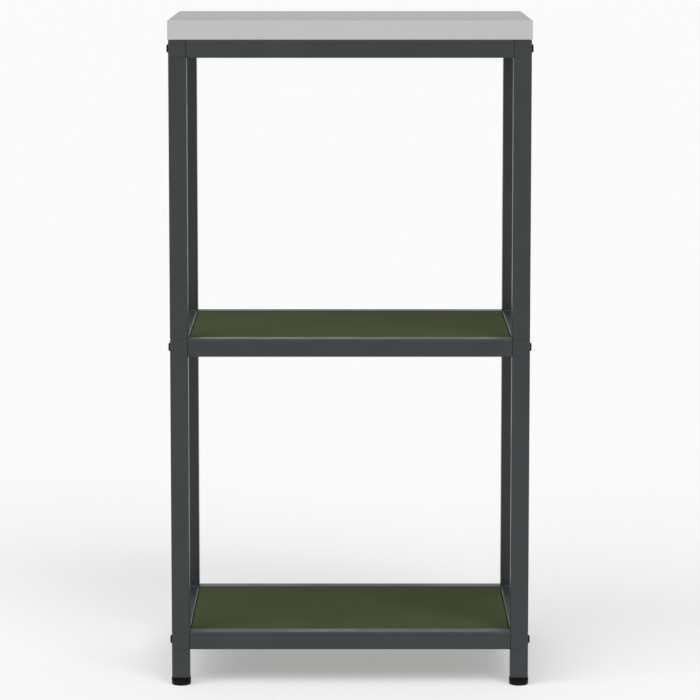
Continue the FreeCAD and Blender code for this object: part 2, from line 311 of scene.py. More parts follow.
def cut_away(piece, tool):
    """Cuts the tool out of the piece, and throws the tool away."""
    apply_modifier(piece, "BOOLEAN", operation="DIFFERENCE", solver="EXACT", object=tool)
    bpy.data.objects.remove(tool)


def joined(name, pieces):
    make_active(pieces[0])
    for piece in pieces:
        piece.select_set(True)
    if len(pieces) > 1:
        bpy.ops.object.join()
    whole = bpy.context.view_layer.objects.active
    whole.name = whole.data.name = name
    return whole


def copied(piece, name):
    """A copy with a mesh of its own."""
    copy = piece.copy()
    copy.data = piece.data.copy()
    copy.name = copy.data.name = name
    bpy.context.scene.collection.objects.link(copy)
    return copy


def placed(piece, location, rotation=(0, 0, 0)):
    """The piece, turned about the origin and then moved, with both put in its mesh."""
    make_active(piece)
    piece.rotation_euler = rotation
    piece.location = location
    bpy.ops.object.transform_apply(location=True, rotation=True, scale=True)
    return piece


def finished(piece, material, body=BENCH, replaced=(), smooth_below=35):
    """Smooths a piece, gives it its finish and fixes it to its body."""
    make_active(piece)
    bpy.ops.object.shade_smooth_by_angle(angle=math.radians(smooth_below))
    apply_modifier(piece, "WEIGHTED_NORMAL", keep_sharp=True, weight=100)
    piece.data.materials.clear()
    piece.data.materials.append(material)
    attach(piece, body)
    if replaced:
        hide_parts(*replaced)
    return piece


# ---------------------------------------------------------------- pieces


def folded_pan(name, low, high, flange, sheet, bend, seam):
    """A sheet folded down on four sides and turned in below, with a fine seam at each corner."""
    pan = add_box(name, low, high)
    with editing(pan):
        pick_faces(pan, lambda middle, normal: normal.z < -0.9)
        bpy.ops.mesh.inset(thickness=flange)
        bpy.ops.mesh.delete(type="FACE")
    apply_modifier(
        pan, "BEVEL", width=bend, segments=4, limit_method="ANGLE", angle_limit=math.radians(40)
    )
    apply_modifier(pan, "SOLIDIFY", thickness=sheet, offset=-1, use_even_offset=True)
    reach = flange * math.sqrt(2)
    blades = []
    for x, turn_x in ((low[0], -1), (high[0], 1)):
        for y, turn_y in ((low[1], -1), (high[1], 1)):
            middle = Vector((x - turn_x * flange / 2, y - turn_y * flange / 2, 0))
            size = Vector((reach + 2 * sheet, seam, 0)) / 2
            bottom = Vector((0, 0, low[2] - sheet))
            top = Vector((0, 0, high[2] - 1.5 * bend))
            mitre = math.radians(45) * turn_x * turn_y
            blades.append(add_box("blade", middle - size + bottom, middle + size + top, mitre))
    cut_away(pan, joined("blades", blades))
    return pan


def weld_bead(name, run, radius, pitch):
    """A bead of overlapping ripples along X, with its middle at the origin."""
    count = max(2, round(run / pitch))
    start = -pitch * (count - 1) / 2
    overlap = 1.3
    deselect_all()
    bpy.ops.mesh.primitive_uv_sphere_add(
        segments=10, ring_count=6, radius=1, location=(start, 0, 0),
        scale=(overlap * pitch, radius, radius),
    )
    return in_a_row(named(name), count, pitch)


def frame_bolt(name, sizes, shank_length):
    """A low-head bolt along Z, with its head above the origin and a hexagon socket in the head."""
    radius = sizes.bolt_head / 2
    height = sizes.bolt_head_height
    rounding = 0.4 * height
    tip_chamfer = 0.15 * sizes.bolt_shank
    bolt = add_cylinder(name, radius, 0, height, 64)

    def at_top(a, b):
        return min(a.z, b.z) > height - HAIR

    def at_tip(a, b):
        return max(a.z, b.z) < HAIR - shank_length

    with editing(bolt, "EDGE"):
        pick_edges(bolt, at_top)
        bpy.ops.mesh.bevel(offset=rounding, segments=5, affect="EDGES")
        bpy.ops.mesh.select_mode(type="FACE")
        pick_faces(bolt, lambda middle, normal: normal.z < -0.9)
        bpy.ops.mesh.inset(thickness=radius - sizes.bolt_shank / 2)
        extrude_up(-shank_length)
        bpy.ops.mesh.select_mode(type="EDGE")
        pick_edges(bolt, at_tip)
        bpy.ops.mesh.bevel(offset=tip_chamfer, segments=2, affect="EDGES")
    corner = sizes.bolt_socket / math.sqrt(3)
    floor = height - sizes.bolt_socket_depth
    cut_away(bolt, add_cylinder("socket", corner, floor, 2 * height, 6))
    deselect_all()
    bpy.ops.mesh.primitive_cone_add(
        vertices=32, radius1=0.8 * corner, radius2=1.5 * corner, depth=0.7 * corner,
        location=(0, 0, height),
    )
    cut_away(bolt, named("countersink"))
    return bolt


def moulded_foot(name, radius, height, sizes):
    """A round foot on the origin, with a groove round it, finger flutes and a ring under it."""
    groove_low, groove_high = 0.46 * height, 0.51 * height
    flute_low, flute_high = 0.57 * height, 0.89 * height
    flute_border = 0.22 * MM
    rim, hollow = 2.5 * MM, 1.2 * MM
    ring, ring_height = 1.5 * MM, 0.8 * MM
    foot = add_cylinder(name, radius, 0, height, 72)

    def between(bottom, top):
        return lambda middle, normal: abs(normal.z) < 0.1 and bottom < middle.z < top

    with editing(foot):
        for level in (groove_low, groove_high, flute_low, flute_high):
            bpy.ops.mesh.select_all(action="SELECT")
            bpy.ops.mesh.bisect(plane_co=(0, 0, level), plane_no=(0, 0, 1))
        pick_faces(foot, between(groove_low, groove_high))
        bpy.ops.mesh.extrude_region_move()
        shrink = 1 - sizes.foot_groove / radius
        bpy.ops.transform.resize(value=(shrink, shrink, 1), center_override=(0, 0, 0))
        pick_faces(foot, between(flute_low, flute_high))
        bpy.ops.mesh.inset(thickness=flute_border, depth=-sizes.foot_flute, use_individual=True)
        bpy.ops.mesh.select_mode(type="EDGE")
        pick_edges(foot, lambda a, b: max(a.z, b.z) < HAIR)
        bpy.ops.mesh.bevel(offset=sizes.foot_rounding, segments=6, affect="EDGES")
        pick_edges(foot, lambda a, b: min(a.z, b.z) > height - HAIR)
        bpy.ops.mesh.bevel(offset=0.4 * sizes.foot_rounding, segments=3, affect="EDGES")
        bpy.ops.mesh.select_mode(type="FACE")
        pick_faces(foot, lambda middle, normal: normal.z < -0.99 and middle.z < HAIR)
        bpy.ops.mesh.inset(thickness=rim)
        extrude_up(hollow)
        bpy.ops.mesh.inset(thickness=ring)
        extrude_up(-ring_height)
    return foot


def thread_ridge(root, crest, bottom, top, pitch):
    """The helical ridge of a thread round Z, closed at both ends, between two levels."""
    depth = crest - root
    start = bottom + pitch / 2
    half_width = 0.42 * pitch
    deselect_all()
    bpy.ops.mesh.primitive_circle_add(
        vertices=4, radius=depth, location=(root, 0, start), rotation=(math.pi / 2, 0, 0)
    )
    ridge = named("ridge")
    with editing(ridge):
        bpy.ops.mesh.select_all(action="SELECT")
        bpy.ops.transform.resize(value=(1, 1, half_width / depth), center_override=(root, 0, start))
    turns = int((top - bottom) / pitch) - 1
    apply_modifier(
        ridge, "SCREW", axis="Z", angle=math.tau, screw_offset=pitch, iterations=turns,
        steps=32, render_steps=32, use_merge_vertices=False,
    )
    with editing(ridge):
        bpy.ops.mesh.select_all(action="SELECT")
        bpy.ops.mesh.remove_doubles(threshold=HAIR)
        bpy.ops.mesh.fill_holes(sides=0)
        bpy.ops.mesh.select_all(action="SELECT")
        bpy.ops.mesh.normals_make_consistent(inside=False)
    return ridge


def threaded_stud(name, radius, bottom, thread_bottom, top, sizes):
    """A stud along Z: plain up to thread_bottom, then with a helical thread."""
    root = radius - sizes.thread_depth
    crest = radius - 0.03 * MM
    tip = 1.0 * MM
    core = add_cylinder(name, root, bottom, top, 48)
    with editing(core, "EDGE"):
        pick_edges(core, lambda a, b: min(a.z, b.z) > top - HAIR)
        bpy.ops.mesh.bevel(offset=0.6 * tip, segments=2, affect="EDGES")
    plain = add_cylinder("plain_part", radius, bottom + 0.1 * MM, thread_bottom, 48)
    ridge = thread_ridge(root, crest, thread_bottom, top - tip, sizes.thread_pitch)
    return joined(name, [core, plain, ridge])


def pan_head_screw(name, shank, length, head, head_height, sizes):
    """A cross-recessed screw that points up from the origin, where the underside of its head bears."""
    pitch = sizes.screw_pitch
    root = 0.38 * shank
    tip_start = length - shank
    neck, neck_width = 0.6 * MM, 1.15
    screw = add_cylinder(name, head / 2, -head_height, 0, 48)

    def grow(rise, scale):
        extrude_up(rise)
        bpy.ops.transform.resize(value=(scale, scale, 1), center_override=(0, 0, 0))

    with editing(screw, "EDGE"):
        pick_edges(screw, lambda a, b: max(a.z, b.z) < HAIR - head_height)
        bpy.ops.mesh.bevel(offset=0.8 * head_height, segments=7, affect="EDGES")
        bpy.ops.mesh.select_mode(type="FACE")
        pick_faces(screw, lambda middle, normal: normal.z > 0.9)
        bpy.ops.mesh.inset(thickness=head / 2 - neck_width * root)
        grow(neck, 1 / neck_width)
        grow(tip_start - neck, 1)
        grow(shank, 0.12)
    long, narrow, deep = sizes.recess_length, sizes.recess_width, sizes.recess_depth
    for x_size, y_size in ((long, narrow), (narrow, long)):
        low = (-x_size / 2, -y_size / 2, -head_height - deep)
        blade = add_box("blade", low, (x_size / 2, y_size / 2, deep - head_height))
        with editing(blade):
            pick_faces(blade, lambda middle, normal: normal.z > 0.9)
            bpy.ops.transform.resize(value=(0.5, 0.5, 1), center_override=(0, 0, 0))
        cut_away(screw, blade)
    ridge = thread_ridge(root, shank / 2, 1.5 * pitch, tip_start + 0.3 * shank, pitch)
    return joined(name, [screw, ridge])


def spot_weld_marks(name, low, high, sizes):
    """Two rows of shallow spot-weld marks, along X, on the undersides of a stiffener's brims."""
    low_rim, raised, sunk = 0.3 * MM, 0.2 * MM, 0.25 * MM
    ring = 0.1 * sizes.spot_weld
    face = high.z - sizes.stiffener_sheet
    across = (high.y - low.y) / 2 - sizes.stiffener_brim / 2
    count = int((high.x - low.x - sizes.spot_weld_pitch / 2) / sizes.spot_weld_pitch) + 1
    first = (low.x + high.x) / 2 - sizes.spot_weld_pitch * (count - 1) / 2
    rows = []
    for y in ((low.y + high.y) / 2 - across, (low.y + high.y) / 2 + across):
        mark = add_cylinder("mark", sizes.spot_weld / 2, face - low_rim, face + raised, 24, (first, y))
        with editing(mark, "EDGE"):
            pick_edges(mark, lambda a, b: max(a.z, b.z) < face - raised)
            bpy.ops.mesh.bevel(offset=raised, segments=2, affect="EDGES")
            bpy.ops.mesh.select_mode(type="FACE")
            pick_faces(mark, lambda middle, normal: normal.z < -0.99)
            bpy.ops.mesh.inset(thickness=ring, depth=0)
            bpy.ops.mesh.inset(thickness=ring, depth=-sunk)
        rows.append(in_a_row(mark, count, sizes.spot_weld_pitch))
    return joined(name, rows)


# ---------------------------------------------------------------- finishes


def add_node(tree, kind, **settings):
    """A node with its properties set, and with the sockets in inputs set by name."""
    node = tree.nodes.new(kind)
    inputs = settings.pop("inputs", {})
    for key, value in settings.items():
        setattr(node, key, value)
    for key, value in inputs.items():
        if isinstance(value, bpy.types.NodeSocket):
            tree.links.new(value, node.inputs[key])
        else:
            node.inputs[key].default_value = value
    return node


def arithmetic(tree, operation, a, b=0.0, clamp=False):
    node = add_node(tree, "ShaderNodeMath", operation=operation, use_clamp=clamp, inputs={0: a, 1: b})
    return node.outputs[0]


def ranged(tree, value, low, high, from_low=0.0, from_high=1.0):
    """Carries value from one range to another, smoothly."""
    inputs = {
        "Value": value, "From Min": from_low, "From Max": from_high, "To Min": low, "To Max": high,
    }
    node = add_node(tree, "ShaderNodeMapRange", interpolation_type="SMOOTHSTEP", inputs=inputs)
    return node.outputs["Result"]


def mixed(tree, factor, first, second):
    """A colour between the first and the second."""
    node = add_node(tree, "ShaderNodeMix", data_type="RGBA")
    for index, value in ((0, factor), (6, first), (7, second)):
        if isinstance(value, bpy.types.NodeSocket):
            tree.links.new(value, node.inputs[index])
        else:
            node.inputs[index].default_value = value
    return node.outputs[2]


def noise(tree, vector, scale, detail=2.0, roughness=0.5):
    inputs = {"Vector": vector, "Scale": scale, "Detail": detail, "Roughness": roughness}
    return add_node(tree, "ShaderNodeTexNoise", inputs=inputs).outputs["Fac"]


def new_group(name, inputs, outputs):
    """A shader node group with its sockets, its input node and its output node."""
    group = bpy.data.node_groups.new(name, "ShaderNodeTree")
    for label, kind, value in inputs:
        socket = group.interface.new_socket(label, in_out="INPUT", socket_type=kind)
        if value is not None:
            socket.default_value = value
    for label in outputs:
        group.interface.new_socket(label, in_out="OUTPUT", socket_type="NodeSocketFloat")
    return group, group.nodes.new("NodeGroupInput"), group.nodes.new("NodeGroupOutput")


def coat_group():
    """Orange peel, fine grain and slow mottling of a baked or moulded surface."""
    group, given, out = new_group(
        "coat_surface",
        [
            ("Vector", "NodeSocketVector", None),
            ("Peel Scale", "NodeSocketFloat", 600.0),
            ("Grain Scale", "NodeSocketFloat", 3000.0),
            ("Patch Scale", "NodeSocketFloat", 12.0),
            ("Grain Share", "NodeSocketFloat", 0.3),
        ],
        ("Height", "Mottle", "Fleck"),
    )
    vector = given.outputs["Vector"]
    peel = noise(group, vector, given.outputs["Peel Scale"], 1.0, 0.4)
    grain = noise(group, vector, given.outputs["Grain Scale"], 2.0, 0.5)
    patch = noise(group, vector, given.outputs["Patch Scale"], 4.0, 0.55)
    rest = arithmetic(group, "SUBTRACT", 1.0, given.outputs["Grain Share"])
    smooth_part = arithmetic(group, "MULTIPLY", peel, rest)
    grain_part = arithmetic(group, "MULTIPLY", grain, given.outputs["Grain Share"])
    group.links.new(arithmetic(group, "ADD", smooth_part, grain_part), out.inputs["Height"])
    group.links.new(ranged(group, patch, 0.0, 1.0, 0.3, 0.7), out.inputs["Mottle"])
    group.links.new(ranged(group, grain, 0.0, 1.0, 0.56, 0.74), out.inputs["Fleck"])
    return group


def dust_group():
    """A mask of fine dust that settles in patches on faces that look up."""
    group, given, out = new_group(
        "settled_dust",
        [
            ("Vector", "NodeSocketVector", None),
            ("Normal", "NodeSocketVector", None),
            ("Amount", "NodeSocketFloat", 0.1),
        ],
        ("Mask",),
    )
    parts = add_node(group, "ShaderNodeSeparateXYZ", inputs={"Vector": given.outputs["Normal"]})
    upward = ranged(group, parts.outputs["Z"], 0.0, 1.0, 0.6, 1.0)
    cloud = noise(group, given.outputs["Vector"], 9.0, 5.0, 0.62)
    speck = noise(group, given.outputs["Vector"], 1400.0, 2.0, 0.6)
    cover = arithmetic(group, "MULTIPLY", ranged(group, cloud, 0.25, 1.0, 0.35, 0.7), speck)
    settled = arithmetic(group, "MULTIPLY", cover, upward)
    settled = arithmetic(group, "MULTIPLY", settled, given.outputs["Amount"])
    group.links.new(settled, out.inputs["Mask"])
    return group


def chip_group():
    """The pressed chips of raw particle board: flat flakes, crumbs between them and fine fibre."""
    inputs = [("Vector", "NodeSocketVector", None)]
    group, given, out = new_group("pressed_chips", inputs, ("Tone", "Height"))
    warp = noise(group, given.outputs["Vector"], 190.0, 3.0, 0.6)
    shift = add_node(
        group, "ShaderNodeVectorMath", operation="MULTIPLY_ADD",
        inputs={0: warp, 1: (0.009, 0.005, 0.007), 2: given.outputs["Vector"]},
    ).outputs[0]

    def chip_tone(chips):
        parts = add_node(group, "ShaderNodeSeparateXYZ", inputs={"Vector": chips.outputs["Color"]})
        return parts.outputs["X"]

    flakes = add_node(group, "ShaderNodeTexVoronoi", inputs={"Vector": shift, "Scale": 360.0})
    crumbs = add_node(group, "ShaderNodeTexVoronoi", inputs={"Vector": shift, "Scale": 1150.0})
    fibre = noise(group, given.outputs["Vector"], 2500.0, 3.0, 0.7)
    tone = arithmetic(group, "MULTIPLY", chip_tone(flakes), 0.42)
    tone = arithmetic(group, "ADD", tone, arithmetic(group, "MULTIPLY", chip_tone(crumbs), 0.33))
    tone = arithmetic(group, "ADD", tone, arithmetic(group, "MULTIPLY", fibre, 0.35))
    height = arithmetic(group, "SUBTRACT", fibre, crumbs.outputs["Distance"])
    group.links.new(tone, out.inputs["Tone"])
    group.links.new(height, out.inputs["Height"])
    return group


def group_node(tree, group, **inputs):
    """Places a shared effect in a material, with its own values."""
    node = tree.nodes.new("ShaderNodeGroup")
    node.node_tree = group
    for key, value in inputs.items():
        label = key.replace("_", " ").title()
        if isinstance(value, bpy.types.NodeSocket):
            tree.links.new(value, node.inputs[label])
        else:
            node.inputs[label].default_value = value
    return node


def shaded(base, factor):
    """The base colour, darker or lighter."""
    return (*[min(1.0, c * factor) for c in base], 1.0)


def new_material(name, specular=0.5, metallic=0.0):
    """A material with a Principled shader, and its Object coordinates."""
    material = bpy.data.materials.new(name)
    material.use_nodes = True
    tree = material.node_tree
    shader = tree.nodes["Principled BSDF"]
    shader.inputs["Specular IOR Level"].default_value = specular
    shader.inputs["Metallic"].default_value = metallic
    vector = tree.nodes.new("ShaderNodeTexCoord").outputs["Object"]
    return material, tree, shader, vector


def bumped(tree, shader, height, distance):
    inputs = {"Height": height, "Strength": 1.0, "Distance": distance}
    node = add_node(tree, "ShaderNodeBump", inputs=inputs)
    tree.links.new(node.outputs["Normal"], shader.inputs["Normal"])


def coated_material(name, base, spread, rough, specular, texture, depth, dust=0.0, metallic=0.0):
    """A coated, moulded or plated finish.

    spread is how far the colour strays, rough the smoothest and roughest, texture the scales of
    coat_surface, and depth how deep its bumps are.
    """
    dust_colour = (0.42, 0.41, 0.39, 1.0)
    fleck_share = 0.35
    material, tree, shader, vector = new_material(name, specular, metallic)
    surface = group_node(tree, bpy.data.node_groups["coat_surface"], vector=vector, **texture)
    tone = mixed(tree, surface.outputs["Mottle"], shaded(base, 1 - spread), shaded(base, 1 + spread))
    fleck = arithmetic(tree, "MULTIPLY", surface.outputs["Fleck"], fleck_share)
    tone = mixed(tree, fleck, tone, shaded(base, 1 + 3 * spread))
    roughness = ranged(tree, surface.outputs["Mottle"], *rough)
    if dust:
        normal = tree.nodes.new("ShaderNodeNewGeometry").outputs["Normal"]
        settled = group_node(
            tree, bpy.data.node_groups["settled_dust"], vector=vector, normal=normal, amount=dust
        )
        tone = mixed(tree, settled.outputs["Mask"], tone, dust_colour)
        roughness = arithmetic(tree, "ADD", roughness, settled.outputs["Mask"], clamp=True)
    tree.links.new(tone, shader.inputs["Base Color"])
    tree.links.new(roughness, shader.inputs["Roughness"])
    bumped(tree, shader, surface.outputs["Height"], depth)
    return material


def board_material(name, base):
    """Raw particle board."""
    material, tree, shader, vector = new_material(name, 0.2)
    chips = group_node(tree, bpy.data.node_groups["pressed_chips"], vector=vector)
    tone = mixed(tree, chips.outputs["Tone"], shaded(base, 0.55), shaded(base, 1.3))
    tree.links.new(tone, shader.inputs["Base Color"])
    tree.links.new(ranged(tree, chips.outputs["Tone"], 0.75, 0.92), shader.inputs["Roughness"])
    bumped(tree, shader, chips.outputs["Height"], 0.12 * MM)
    return material


def finish(slot):
    """The material that stands for one of the record's slots."""
    return bpy.data.materials[FINISHES[slot]]


class BENCH_OT_finishes(bpy.types.Operator):
    """Make the finishes, one for each material slot of the bench"""

    bl_idname = "bench.finishes"
    bl_label = "Finishes"

    def execute(self, context):
        colours = context.scene.bench_colours
        coat_group()
        dust_group()
        chip_group()
        powder = {"peel_scale": 520.0, "grain_scale": 2600.0, "patch_scale": 10.0, "grain_share": 0.25}
        fine = {"peel_scale": 700.0, "grain_scale": 2600.0, "patch_scale": 8.0, "grain_share": 0.55}
        sheet = {"peel_scale": 420.0, "grain_scale": 3000.0, "patch_scale": 5.0, "grain_share": 0.4}
        plated = {"peel_scale": 300.0, "grain_scale": 5000.0, "patch_scale": 140.0, "grain_share": 0.7}
        moulded = {"peel_scale": 700.0, "grain_scale": 4200.0, "patch_scale": 60.0, "grain_share": 0.8}
        coated_material(
            "satin_anthracite_coat", colours.frame_coat, spread=0.06, rough=(0.35, 0.44),
            specular=0.42, texture=powder, depth=0.1 * MM, dust=0.04,
        )
        coated_material(
            "matte_olive_coat", colours.shelf_coat, spread=0.06, rough=(0.86, 0.94),
            specular=0.04, texture=fine, depth=0.12 * MM, dust=0.03,
        )
        coated_material(
            "light_grey_coated_sheet", colours.worktop_coat, spread=0.018, rough=(0.56, 0.66),
            specular=0.1, texture=sheet, depth=0.02 * MM, dust=0.02,
        )
        coated_material(
            "blackened_steel", colours.bolt_black, spread=0.2, rough=(0.34, 0.44),
            specular=0.06, texture=plated, depth=0.01 * MM,
        )
        coated_material(
            "moulded_black_plastic", colours.foot_black, spread=0.15, rough=(0.42, 0.52),
            specular=0.14, texture=moulded, depth=0.03 * MM,
        )
        coated_material(
            "bright_zinc_plate", colours.zinc, spread=0.08, rough=(0.28, 0.42),
            specular=0.5, texture=plated, depth=0.008 * MM, metallic=1.0,
        )
        board_material("raw_particle_board", colours.core_board)
        return {"FINISHED"}


class BENCH_OT_carried_parts(bpy.types.Operator):
    """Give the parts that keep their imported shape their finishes"""

    bl_idname = "bench.carried_parts"
    bl_label = "Carried-over parts"

    def execute(self, context):
        for row in frame["record"]["subparts"]:
            part = frame["nodes"][row["node"]]
            part.data.materials.clear()
            part.data.materials.append(finish(row["material_slot"]))
        return {"FINISHED"}


class BENCH_OT_weld_beads(bpy.types.Operator):
    """Lay the weld beads where the legs stand on the side rails"""

    bl_idname = "bench.weld_beads"
    bl_label = "Weld beads"

    def execute(self, context):
        sizes = context.scene.bench_sizes
        slot = "anthracite_powder_coat"
        low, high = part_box("left_top_side_rail")
        run = high.x - low.x - 2 * sizes.tube_corner
        bead = weld_bead("bead", run, sizes.bead_radius, sizes.bead_pitch)
        for side in SIDES:
            corners = []
            for end, direction in ENDS.items():
                for part, meets in (("upper_leg", (0, 1)), ("lower_leg", (0, 1)), ("leg_stub", (1,))):
                    low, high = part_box(f"{side}_{end}_{part}")
                    inner = high.y if direction < 0 else low.y
                    for which in meets:
                        corners.append(((low.x + high.x) / 2, inner, (low, high)[which].z))
            beads = [placed(copied(bead, "laid_bead"), corner) for corner in corners]
            laid = joined(f"{side}_side_frame_weld_beads", beads)
            finished(laid, finish(slot), smooth_below=80)
        bpy.data.objects.remove(bead)
        return {"FINISHED"}


class BENCH_OT_lug_beads(bpy.types.Operator):
    """Lay the weld beads under the shelf lugs"""

    bl_idname = "bench.lug_beads"
    bl_label = "Lug weld beads"

    def execute(self, context):
        sizes = context.scene.bench_sizes
        slot = "anthracite_powder_coat"
        low, high = solid_boxes("bottom_shelf_lugs")[0]
        run = 0.9 * max(high.x - low.x, high.y - low.y)
        bead = weld_bead("lug_bead", run, sizes.lug_bead_radius, sizes.bead_pitch)
        for level in SHELVES:
            beads = []
            for low, high in solid_boxes(f"{level}_shelf_lugs"):
                middle = (low + high) / 2
                along_x = high.x - low.x > high.y - low.y
                if along_x:
                    root = Vector((middle.x, high.y if middle.y > 0 else low.y, low.z))
                else:
                    root = Vector((high.x if middle.x > 0 else low.x, middle.y, low.z))
                turn = (0, 0, 0 if along_x else math.pi / 2)
                beads.append(placed(copied(bead, "laid_lug_bead"), root, turn))
            laid = joined(f"{level}_shelf_lug_weld_beads", beads)
            finished(laid, finish(slot), smooth_below=80)
        bpy.data.objects.remove(bead)
        return {"FINISHED"}


class BENCH_OT_spot_welds(bpy.types.Operator):
    """Mark the spot welds that hold the stiffeners to the trays"""

    bl_idname = "bench.spot_welds"
    bl_label = "Spot welds"

    def execute(self, context):
        sizes = context.scene.bench_sizes
        slot = "green_powder_coat"
        low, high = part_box("bottom_shelf_stiffener")
        marks = spot_weld_marks("marks", low, high, sizes)
        for level in SHELVES:
            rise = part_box(f"{level}_shelf_stiffener")[0] - low
            laid = placed(copied(marks, f"{level}_shelf_spot_weld_marks"), rise)
            finished(laid, finish(slot))
        bpy.data.objects.remove(marks)
        return {"FINISHED"}


class BENCH_OT_worktop_sheet(bpy.types.Operator):
    """Fold the sheet that clads the worktop"""

    bl_idname = "bench.worktop_sheet"
    bl_label = "Worktop sheet"

    def execute(self, context):
        sizes = context.scene.bench_sizes
        slot = "grey_worktop_sheet"
        low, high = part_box("worktop_cladding")
        sheet = folded_pan(
            "folded_worktop_sheet", low, high, sizes.worktop_hem, sizes.worktop_sheet,
            sizes.worktop_bend, sizes.fold_seam,
        )
        finished(sheet, finish(slot), replaced=["worktop_cladding"])
        return {"FINISHED"}


class BENCH_OT_shelf_trays(bpy.types.Operator):
    """Fold the two shelf trays"""

    bl_idname = "bench.shelf_trays"
    bl_label = "Shelf trays"

    def execute(self, context):
        sizes = context.scene.bench_sizes
        slot = "green_powder_coat"
        low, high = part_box("bottom_shelf_tray")
        tray = folded_pan(
            "tray", low, high, sizes.tray_return, sizes.tray_sheet, sizes.tray_bend, sizes.fold_seam
        )
        for level in SHELVES:
            node = f"{level}_shelf_tray"
            laid = placed(copied(tray, f"folded_{node}"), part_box(node)[0] - low)
            finished(laid, finish(slot), replaced=[node])
        bpy.data.objects.remove(tray)
        return {"FINISHED"}


class BENCH_OT_frame_bolts(bpy.types.Operator):
    """Put the black bolts through the side rails into the cross rails"""

    bl_idname = "bench.frame_bolts"
    bl_label = "Frame bolts"

    def execute(self, context):
        sizes = context.scene.bench_sizes
        slot = "black_bolts"
        low, high = solid_boxes("left_frame_bolts")[0]
        bolt = frame_bolt("bolt", sizes, high.x - low.x - sizes.bolt_head_height)
        for side, direction in SIDES.items():
            node = f"{side}_frame_bolts"
            bolts = []
            for low, high in solid_boxes(node):
                seat = (low + high) / 2
                outer = high.x if direction > 0 else low.x
                seat.x = outer - direction * sizes.bolt_head_height
                turn = (0, direction * math.pi / 2, 0)
                bolts.append(placed(copied(bolt, "driven_bolt"), seat, turn))
            finished(joined(f"{side}_frame_bolt_set", bolts), finish(slot), replaced=[node])
        bpy.data.objects.remove(bolt)
        return {"FINISHED"}


class BENCH_OT_screws(bpy.types.Operator):
    """Drive the cross-recessed screws into the trays and the worktop"""

    bl_idname = "bench.screws"
    bl_label = "Screws"

    def execute(self, context):
        sizes = context.scene.bench_sizes
        slot = "zinc_plated_steel"
        for nodes, shank, head_height in (
            (("worktop_screws",), sizes.worktop_screw_shank, sizes.worktop_screw_head_height),
            (
                ("middle_shelf_screws", "bottom_shelf_screws"),
                sizes.shelf_screw_shank, sizes.shelf_screw_head_height,
            ),
        ):
            low, high = solid_boxes(nodes[0])[0]
            length = high.z - low.z - head_height
            screw = pan_head_screw("screw", shank, length, high.x - low.x, head_height, sizes)
            for node in nodes:
                screws = []
                for low, high in solid_boxes(node):
                    seat = ((low.x + high.x) / 2, (low.y + high.y) / 2, low.z + head_height)
                    screws.append(placed(copied(screw, "driven_screw"), seat))
                name = node.replace("screws", "screw_set")
                finished(joined(name, screws), finish(slot), replaced=[node])
            bpy.data.objects.remove(screw)
        return {"FINISHED"}


class BENCH_OT_feet(bpy.types.Operator):
    """Build the four moulded feet and their threaded studs"""

    bl_idname = "bench.feet"
    bl_label = "Feet"

    def execute(self, context):
        sizes = context.scene.bench_sizes
        low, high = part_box("left_front_foot_base")
        stud_low, stud_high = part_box("left_front_foot_stud")
        radius = (stud_high.x - stud_low.x) / 2
        foot = moulded_foot("foot", (high.x - low.x) / 2, high.z, sizes)
        stud = threaded_stud("stud", radius, stud_low.z, high.z, stud_high.z, sizes)
        for leg in LEGS:
            body = f"{leg}_foot"
            low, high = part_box(f"{body}_base")
            centre = ((low.x + high.x) / 2, (low.y + high.y) / 2, 0)
            base = placed(copied(foot, f"moulded_foot_{leg}"), centre)
            slot = "black_foot_plastic"
            finished(base, finish(slot), body, [f"{body}_base"], smooth_below=28)
            screw = placed(copied(stud, f"threaded_stud_{leg}"), centre)
            slot = "zinc_plated_steel"
            finished(screw, finish(slot), body, [f"{body}_stud"])
        bpy.data.objects.remove(foot)
        bpy.data.objects.remove(stud)
        return {"FINISHED"}


# ---------------------------------------------------------------- stage


def soft_light(name, elevation, azimuth, softness, strength):
    """A wide, distant light, azimuth to the right of the camera."""
    data = bpy.data.lights.new(name, "SUN")
    data.angle = softness
    data.energy = strength
    lamp = bpy.data.objects.new(name, data)
    bpy.context.scene.collection.objects.link(lamp)
    level = math.cos(elevation)
    towards = Vector((math.sin(azimuth) * level, -math.cos(azimuth) * level, math.sin(elevation)))
    lamp.location = 4 * towards
    lamp.rotation_euler = towards.to_track_quat("Z", "Y").to_euler()


def studio_floor(reach):
    """One flat sheet under the bench. Its corner by each foot follows that foot up and down."""
    deselect_all()
    bpy.ops.mesh.primitive_plane_add(size=2 * reach)
    floor = named("studio_floor")
    with editing(floor):
        for leg in LEGS:
            low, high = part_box(f"{leg}_foot_base")
            inner = [min(low[axis], high[axis], key=abs) for axis in range(3)]
            for along in ((1, 0, 0), (0, 1, 0)):
                bpy.ops.mesh.select_all(action="SELECT")
                bpy.ops.mesh.bisect(plane_co=inner, plane_no=along)
    for leg in LEGS:
        low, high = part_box(f"{leg}_foot_base")
        near = [v.index for v in floor.data.vertices if v.co.x * low.x > 0 and v.co.y * low.y > 0]
        floor.vertex_groups.new(name=leg).add(near, 1.0, "REPLACE")
        follow = floor.modifiers.new(f"follow_{leg}_foot", "HOOK")
        follow.object = frame["bodies"][f"{leg}_foot"]
        follow.vertex_group = leg
        follow.matrix_inverse = follow.object.matrix_world.inverted()
    return floor


